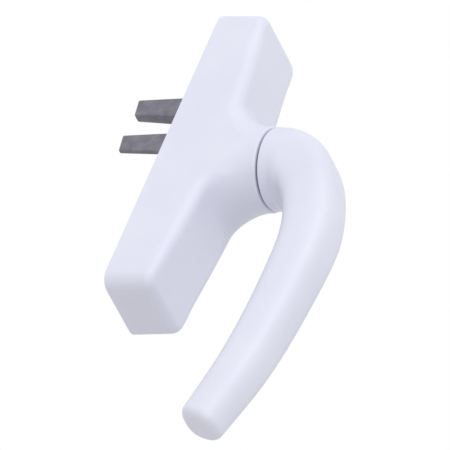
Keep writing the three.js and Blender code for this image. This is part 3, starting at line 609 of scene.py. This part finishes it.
class Skin:
    """The front's outer or inner skin, laid out in rings from its outline to the neck."""

    def __init__(self, wall, inner_radius, flare):
        self.wall = wall
        self.flare = flare
        self.inner_radius = inner_radius
        self.outline = outline_at(FACE_DEPTH_AT_ENDS, wall)
        self.points, self.outwards = outline_points(self.outline)
        room = np.hypot(*self.points.T) - inner_radius
        self.edge = np.minimum(edge_radius(self.points[:, 1]) - wall, room * EDGE_ROOM_SHARE)
        self.inner_edge = self.points - self.outwards * self.edge[:, None]
        self.reach = np.hypot(*self.inner_edge.T)
        self.room = self.reach - inner_radius

    def on_skin(self, points):
        """Plan points given the depth of the skin: arched face, flare and rounded edge."""
        x, y = points.T
        from_neck = np.maximum(0, np.hypot(x, y) - self.inner_radius)
        flare = draw_in(NECK_FLARE, from_neck) * self.flare / NECK_FLARE
        edge = draw_in(edge_radius(y) - self.wall, depth_inside(x, y, self.outline))
        return np.column_stack([points, face_depth(y) - self.wall + flare - edge])

    def edge_ring(self, share):
        return self.on_skin(self.points - self.outwards * (self.edge * share)[:, None])

    def face_ring(self, inset):
        """A ring drawn in from the edge's inner side along the lines to the turning axis."""
        return self.on_skin(self.inner_edge * ((self.reach - inset) / self.reach)[:, None])

    def circle(self, radius, depth):
        """A round ring with its points on the same lines."""
        placed = self.inner_edge * (radius / self.reach)[:, None]
        return np.column_stack([placed, np.full(len(placed), float(depth))])


def arc_shares(steps):
    return [1 - math.cos(step / steps * math.pi / 2) for step in range(steps + 1)]


def housing_shell():
    """One closed skin: the back rim, the front with its flared neck, down the neck's bore
    and the boss inside it, and over the hollow back to the rim."""
    skin = Skin(0, NECK_RADIUS, NECK_FLARE_HEIGHT)
    rings = [flat_ring(outline_at(HOUSING_BACK_EDGE, HOUSING_BACK_EDGE), 0)]
    rings += [flat_ring(outline_at(depth), depth) for depth in (HOUSING_BACK_EDGE, 6, 12)]
    rings += [skin.edge_ring(share) for share in arc_shares(12)]
    flare = np.minimum(NECK_FLARE, skin.room * FLARE_ROOM_SHARE)
    face_steps = 14
    for step in range(1, face_steps):
        rings.append(skin.face_ring((skin.room - flare) * step / face_steps))
    flare_steps = 20
    for step in range(flare_steps + 1):
        share = 1 - math.sin(step / flare_steps * math.pi / 2)
        rings.append(skin.face_ring(skin.room - flare * share))
    rim_steps = 6
    for step in range(rim_steps + 1):
        angle = step / rim_steps * math.pi / 2
        inset = NECK_TAPER + NECK_RIM * (1 - math.cos(angle))
        rings.append(skin.circle(NECK_RADIUS - inset, NECK_TOP - NECK_RIM * (1 - math.sin(angle))))
    rings += bore_rings(skin)
    rings += hollow_rings()
    return loft("housing_shell", rings, closed=True, smooth_angle=32)


def bore_rings(skin):
    """The counterbore for the bush's flange, the bore, the ring's chamber and the boss."""
    counterbore = BUSH_FLANGE_RADIUS + CLEARANCE
    floor = BUSH_FLANGE_FROM - CLEARANCE
    bore = BUSH_RADIUS + CLEARANCE
    chamber_top = BUSH_SEAT - CLEARANCE
    steps = [
        (counterbore + COUNTERBORE_EDGE, NECK_TOP),
        (counterbore, NECK_TOP - COUNTERBORE_EDGE),
        (counterbore, floor),
        (bore, floor),
        (bore, chamber_top),
        (CHAMBER_RADIUS, chamber_top),
        (CHAMBER_RADIUS, BOSS_FOOT),
        (BOSS_RADIUS, BOSS_FOOT),
    ]
    return [skin.circle(radius, depth) for radius, depth in steps]


def hollow_rings():
    """The inside of the front and side walls, from the boss out to the back rim."""
    skin = Skin(HOUSING_WALL, BOSS_RADIUS, 0)
    face_steps = 8
    rings = [skin.face_ring(skin.room * (1 - step / face_steps)) for step in range(face_steps)]
    rings += [skin.edge_ring(share) for share in arc_shares(6)[::-1]]
    rings += [flat_ring(outline_at(depth, HOUSING_WALL), depth) for depth in (8, 0)]
    return rings


# ---- lever ----

def lever_values(share):
    """All values of the lever's stations at a share of its length: a smooth curve through
    them whose knots are spaced by the square root of the distances between the places."""
    last = len(LEVER_STATIONS) - 1
    index = min(int(share * last), last - 1)
    blend = share * last - index
    start, end = LEVER_STATIONS[index], LEVER_STATIONS[index + 1]
    before = LEVER_STATIONS[index - 1] if index > 0 else 2 * start - end
    after = LEVER_STATIONS[index + 2] if index + 2 <= last else 2 * end - start
    knots = [
        math.dist(a[:2], b[:2]) ** 0.5
        for a, b in ((before, start), (start, end), (end, after))
    ]
    across = end - start
    leave = (start - before) / knots[0] - (end - before) / (knots[0] + knots[1])
    arrive = (after - start) / (knots[1] + knots[2]) - (after - end) / knots[2]
    leave = leave * knots[1] + across
    arrive = across - arrive * knots[1]
    square = 3 * across - 2 * leave - arrive
    cube = leave + arrive - 2 * across
    return start + leave * blend + square * blend ** 2 + cube * blend ** 3


def lever_ring(share, inset=0.0):
    """A rounded section square to the lever's heading, drawn in by inset."""
    y, depth, lean, across, thick, square = lever_values(share)
    lean = math.radians(lean)
    heading = np.array([-math.sin(lean), math.cos(lean)])
    angles = np.arange(LEVER_SIDES) / LEVER_SIDES * 2 * math.pi
    power = 2 / square
    wide = np.sign(np.cos(angles)) * np.abs(np.cos(angles)) ** power * (across - inset - LEVER_SKIN)
    high = np.sign(np.sin(angles)) * np.abs(np.sin(angles)) ** power * (thick - inset - LEVER_SKIN)
    outward = np.array([-heading[1], heading[0]])
    place = (y, depth) + high[:, None] * outward
    return np.column_stack([wide, place])


def lever_grip():
    """One closed skin: the spigot with its ring groove, the round root, the elbow and grip."""
    profile = [
        (SPIGOT_RADIUS - SPIGOT_EDGE, SPIGOT_END),
        (SPIGOT_RADIUS, SPIGOT_END + SPIGOT_EDGE),
        (SPIGOT_RADIUS, RING_GROOVE_FROM),
        (RING_GROOVE_RADIUS, RING_GROOVE_FROM),
        (RING_GROOVE_RADIUS, RING_GROOVE_TO),
        (SPIGOT_RADIUS, RING_GROOVE_TO),
        (SPIGOT_RADIUS, LEVER_START),
    ]
    rings = [circle(radius, depth, LEVER_SIDES) * (1, -1, 1) for radius, depth in profile]
    spans = len(LEVER_STATIONS) - 1
    places = LEVER_STATIONS[:, :2]
    root_share = LEVER_ROOT_EDGE / math.dist(places[0], places[1]) / spans
    tip_share = LEVER_TIP_EDGE / math.dist(places[-2], places[-1]) / spans
    root_steps = 6
    for step in range(root_steps):
        angle = step / root_steps * math.pi / 2
        inset = LEVER_ROOT_EDGE * (1 - math.sin(angle))
        rings.append(lever_ring(root_share * (1 - math.cos(angle)), inset))
    body_steps = 210
    shares = np.linspace(root_share, 1 - tip_share, body_steps)
    rings += [lever_ring(share) for share in shares]
    tip_steps = 14
    for step in range(1, tip_steps + 1):
        angle = step / tip_steps * math.pi / 2
        inset = LEVER_TIP_EDGE * (1 - math.cos(angle))
        rings.append(lever_ring(1 - tip_share * (1 - math.sin(angle)), inset))
    return loft("lever_grip", rings, smooth_angle=50)


# ---- small parts ----

def neck_bush():
    profile = rounded_profile([
        (BUSH_BORE, BUSH_SEAT),
        (BUSH_RADIUS, BUSH_SEAT),
        (BUSH_RADIUS, BUSH_FLANGE_FROM),
        (BUSH_FLANGE_RADIUS, BUSH_FLANGE_FROM),
        (BUSH_FLANGE_RADIUS, BUSH_TOP),
        (BUSH_BORE, BUSH_TOP),
    ], BUSH_EDGE)
    return turned("bush_with_flange", profile, 96, closed=True)


def tapered_prong(name, centre, root_width, tip_width):
    """A cast prong with a slanted free end; its -X side is flat and shared by both prongs."""
    length = PRONG_START + PRONG_REACH
    rings = []
    for share in (0, 0.25, 0.5, 0.75, 1):
        half = (PRONG_ROOT + (PRONG_TIP - PRONG_ROOT) * share) / 2
        high = PRONG_SIDE + root_width + (tip_width - root_width) * share
        depth = PRONG_START - length * share
        slanted = depth + PRONG_END_SLANT * share
        rings.append([
            (PRONG_SIDE, centre - half, slanted),
            (PRONG_SIDE, centre + half, depth),
            (high, centre + half, depth),
            (high, centre - half, slanted),
        ])
    grid = bmesh.new()
    rows = [[grid.verts.new(point) for point in to_frame(ring)] for ring in rings]
    for row, following in zip(rows, rows[1:]):
        for i in range(4):
            j = (i + 1) % 4
            grid.faces.new((row[i], row[j], following[j], following[i]))
    grid.faces.new(rows[0][::-1])
    grid.faces.new(rows[-1])
    piece = new_object(name, outward_mesh(name, grid))
    return apply_modifiers(soften(piece, PRONG_EDGE, segments=5))


def fork_casting():
    """The foot and its two prongs in one casting."""
    low, high = plan_box("fork")
    foot_top = high.y
    foot_bottom = low.y
    middle = (foot_top + foot_bottom) / 2
    outlines = [rounded_rectangle(high.x, (foot_top - foot_bottom) / 2, FORK_FOOT_CORNER, middle)]
    outlines += [hole_outline(FORK_SCREW_HOLE, 0, y) for y in FORK_SCREW_PLACES]
    piece = sheet_slab("fork_casting", outlines, FORK_FOOT_FROM, FORK_FOOT_TO)
    apply_modifiers(soften(piece, FORK_FOOT_EDGE))
    for number, prong in enumerate(PRONGS):
        combine(piece, tapered_prong(f"prong_{number}", *prong), "UNION")
    piece.data.set_sharp_from_angle(angle=math.radians(35))
    return piece


def screw_places():
    places = []
    for number in range(1, 5):
        low, high = plan_box(f"back_plate_screw_{number}")
        places.append(((low.x + high.x) / 2, (low.y + high.y) / 2))
    return places


def insert_places():
    places = []
    for name in ("top", "bottom"):
        low, high = plan_box(f"fixing_insert_{name}")
        places.append((name, (low.x + high.x) / 2, (low.y + high.y) / 2))
    return places


def plate_sheet():
    """The back plate: two layers, so that its screw heads lie in sinks."""
    low, high = plan_box("back_plate")
    half_x = (high.x - low.x) / 2
    half_y = (high.y - low.y) / 2
    rim = rounded_rectangle(half_x, half_y, PLATE_CORNER, (high.y + low.y) / 2)
    slot_middle = (SLOT_TOP + SLOT_BOTTOM) / 2
    slot = rounded_rectangle(SLOT_HALF_WIDTH, (SLOT_TOP - SLOT_BOTTOM) / 2, SLOT_CORNER, slot_middle)
    shared = [rim, slot] + [hole_outline(INSERT_HOLE_RADIUS, x, y) for _, x, y in insert_places()]
    sinks = [hole_outline(PLATE_SINK_RADIUS, x, y) for x, y in screw_places()]
    holes = [hole_outline(PLATE_HOLE_RADIUS, x, y) for x, y in screw_places()]
    outer = sheet_slab("plate_sheet", shared + sinks, 0, PLATE_SINK_DEPTH + PLATE_LAYER_OVERLAP)
    soften(outer, PLATE_EDGE)
    inner = sheet_slab("plate_inner_layer", shared + holes, PLATE_SINK_DEPTH, PLATE_THICKNESS)
    apply_modifiers(outer)
    return combine(outer, inner, "UNION")


def plate_screw(number, x, y):
    """A low domed screw with a cross recess and a threaded shank, head towards the sash."""
    profile = [(radius, SCREW_HEAD_FROM + below) for radius, below in SCREW_DOME]
    profile.append((SCREW_HEAD, SCREW_HEAD_TO - SCREW_HEAD_EDGE))
    profile.append((SCREW_HEAD - SCREW_HEAD_EDGE, SCREW_HEAD_TO))
    turns = int((SCREW_TO - SCREW_HEAD_TO - SCREW_PLAIN_LENGTH) / THREAD_PITCH)
    for turn in range(turns):
        depth = SCREW_HEAD_TO + SCREW_THREAD_START + turn * THREAD_PITCH
        profile.append((SCREW_SHANK - SCREW_THREAD_DEPTH, depth))
        profile.append((SCREW_SHANK, depth + THREAD_PITCH / 2))
    profile.append((SCREW_SHANK - SCREW_THREAD_DEPTH, SCREW_TO - SCREW_POINT_LENGTH))
    profile.append((SCREW_POINT_RADIUS, SCREW_TO))
    piece = turned(f"plate_screw_{number}", profile, 48, x, y)
    for turn in (0, 1):
        combine(piece, cross_blade(x, y, turn), "DIFFERENCE")
    piece.data.set_sharp_from_angle(angle=math.radians(35))
    return piece


def cross_blade(x, y, turn):
    """One bar of the cross recess, tapered towards its bottom."""
    rings = []
    levels = [
        (SCREW_HEAD_FROM - SCREW_CROSS_ABOVE, SCREW_CROSS_TOP_SHARE),
        (SCREW_HEAD_FROM + SCREW_CROSS_DEPTH, SCREW_CROSS_BOTTOM_SHARE),
    ]
    for depth, share in levels:
        half = (SCREW_CROSS_LENGTH / 2 * share, SCREW_CROSS_WIDTH / 2 * share)
        if turn:
            half = half[::-1]
        corners = [(1, 1), (-1, 1), (-1, -1), (1, -1)]
        rings.append([(x + half[0] * a, y + half[1] * b, depth) for a, b in corners])
    return loft("blade", rings)


def fixing_insert(name, x, y):
    """A flanged bush with a threaded bore."""
    outside = [
        (INSERT_BORE + THREAD_DEPTH, 0),
        (INSERT_RADIUS - INSERT_EDGE, 0),
        (INSERT_RADIUS, INSERT_EDGE),
        (INSERT_RADIUS, INSERT_FLANGE_FROM),
        (INSERT_FLANGE, INSERT_FLANGE_FROM),
        (INSERT_FLANGE, INSERT_FLANGE_TO),
        (INSERT_RADIUS, INSERT_FLANGE_TO),
        (INSERT_RADIUS, INSERT_TO),
        (INSERT_BORE + THREAD_DEPTH, INSERT_TO),
    ]
    inside = []
    turns = int(INSERT_TO / THREAD_PITCH)
    for turn in range(turns, 0, -1):
        depth = turn * THREAD_PITCH
        inside.append((INSERT_BORE, depth))
        inside.append((INSERT_BORE + THREAD_DEPTH, depth - THREAD_PITCH / 2))
    return turned(f"insert_{name}", outside + inside, 64, x, y, closed=True)


# ---- build ----

stand_for(housing_shell(), "housing", "powder_white", "housing")
stand_for(lever_grip(), "lever", "powder_white", "lever")
stand_for(neck_bush(), "housing", "black_nylon", "neck_bush")
stand_for(fork_casting(), "slider", "dark_zinc", "fork")
stand_for(plate_sheet(), "housing", "zinc_plated", "back_plate")
for number, (x, y) in enumerate(screw_places(), start=1):
    piece = plate_screw(number, x, y)
    stand_for(piece, "housing", "zinc_plated", f"back_plate_screw_{number}")
for name, x, y in insert_places():
    stand_for(fixing_insert(name, x, y), "housing", "zinc_plated", f"fixing_insert_{name}")

slots = {part["node"]: part["material_slot"] for part in frame["record"]["subparts"]}
for node, cad_object in frame["nodes"].items():
    if cad_object.hide_render:
        continue
    paint(cad_object, slots[node])


# ---- stage ----

# Camera: its direction from the object, its roll, and the point that it is centred on
CAMERA_AZIMUTH = -52.88
CAMERA_ELEVATION = -36.22
CAMERA_ROLL = 23.62
CAMERA_DISTANCE = 3.03
CAMERA_RIGHT = 0.01626
CAMERA_UP = -0.01948
CAMERA_LENS = 673.8
CAMERA_SENSOR = 36
CAMERA_CLIP_END = 200
FLOOR_HEIGHT = -2.6
FLOOR_HALF = 60
FLOOR_SEGMENTS = 12
LIGHT_TINT = (0.96, 0.98, 1.0)


def camera_axes():
    """Right, up and backward directions of the camera."""
    azimuth = math.radians(CAMERA_AZIMUTH)
    elevation = math.radians(CAMERA_ELEVATION)
    roll = math.radians(CAMERA_ROLL)
    back = Vector((
        math.sin(azimuth) * math.cos(elevation),
        -math.cos(azimuth) * math.cos(elevation),
        math.sin(elevation),
    ))
    level = Vector((math.cos(azimuth), math.sin(azimuth), 0))
    above = back.cross(level)
    right = level * math.cos(roll) + above * math.sin(roll)
    up = above * math.cos(roll) - level * math.sin(roll)
    return right, up, back


def make_camera():
    right, up, back = camera_axes()
    data = bpy.data.cameras.new("camera")
    data.lens = CAMERA_LENS
    data.sensor_width = CAMERA_SENSOR
    data.clip_end = CAMERA_CLIP_END
    camera = bpy.data.objects.new("camera", data)
    bpy.context.scene.collection.objects.link(camera)
    camera.matrix_world = Matrix((right, up, back)).transposed().to_4x4()
    camera.location = right * CAMERA_RIGHT + up * CAMERA_UP + back * CAMERA_DISTANCE
    bpy.context.scene.camera = camera


def make_light(name, direction, distance, size, power, tint):
    """A soft square light that faces the handle."""
    data = bpy.data.lights.new(name, "AREA")
    data.size = size
    data.energy = power
    data.color = tint
    light = bpy.data.objects.new(name, data)
    bpy.context.scene.collection.objects.link(light)
    place = Vector(direction).normalized() * distance
    light.location = place
    light.rotation_euler = place.to_track_quat("Z", "Y").to_euler()


def make_floor():
    grid = bmesh.new()
    bmesh.ops.create_grid(grid, x_segments=FLOOR_SEGMENTS, y_segments=FLOOR_SEGMENTS, size=FLOOR_HALF)
    mesh = bpy.data.meshes.new("floor")
    grid.to_mesh(mesh)
    grid.free()
    floor = bpy.data.objects.new("floor", mesh)
    bpy.context.scene.collection.objects.link(floor)
    floor.location.z = FLOOR_HEIGHT
    mesh.materials.append(floor_paint())


def make_world():
    world = bpy.data.worlds.new("studio")
    world.use_nodes = True
    background = world.node_tree.nodes["Background"]
    background.inputs["Color"].default_value = colour(1, 1, 1)
    background.inputs["Strength"].default_value = 1.0
    bpy.context.scene.world = world
    bpy.context.scene.view_settings.view_transform = "Standard"


make_camera()
make_floor()
make_world()
make_light("key", (-0.75, -0.55, 0.35), 2.2, 1.4, 12, LIGHT_TINT)
make_light("fill", (-0.8, -0.3, -0.5), 3.9, 1.2, 24, LIGHT_TINT)
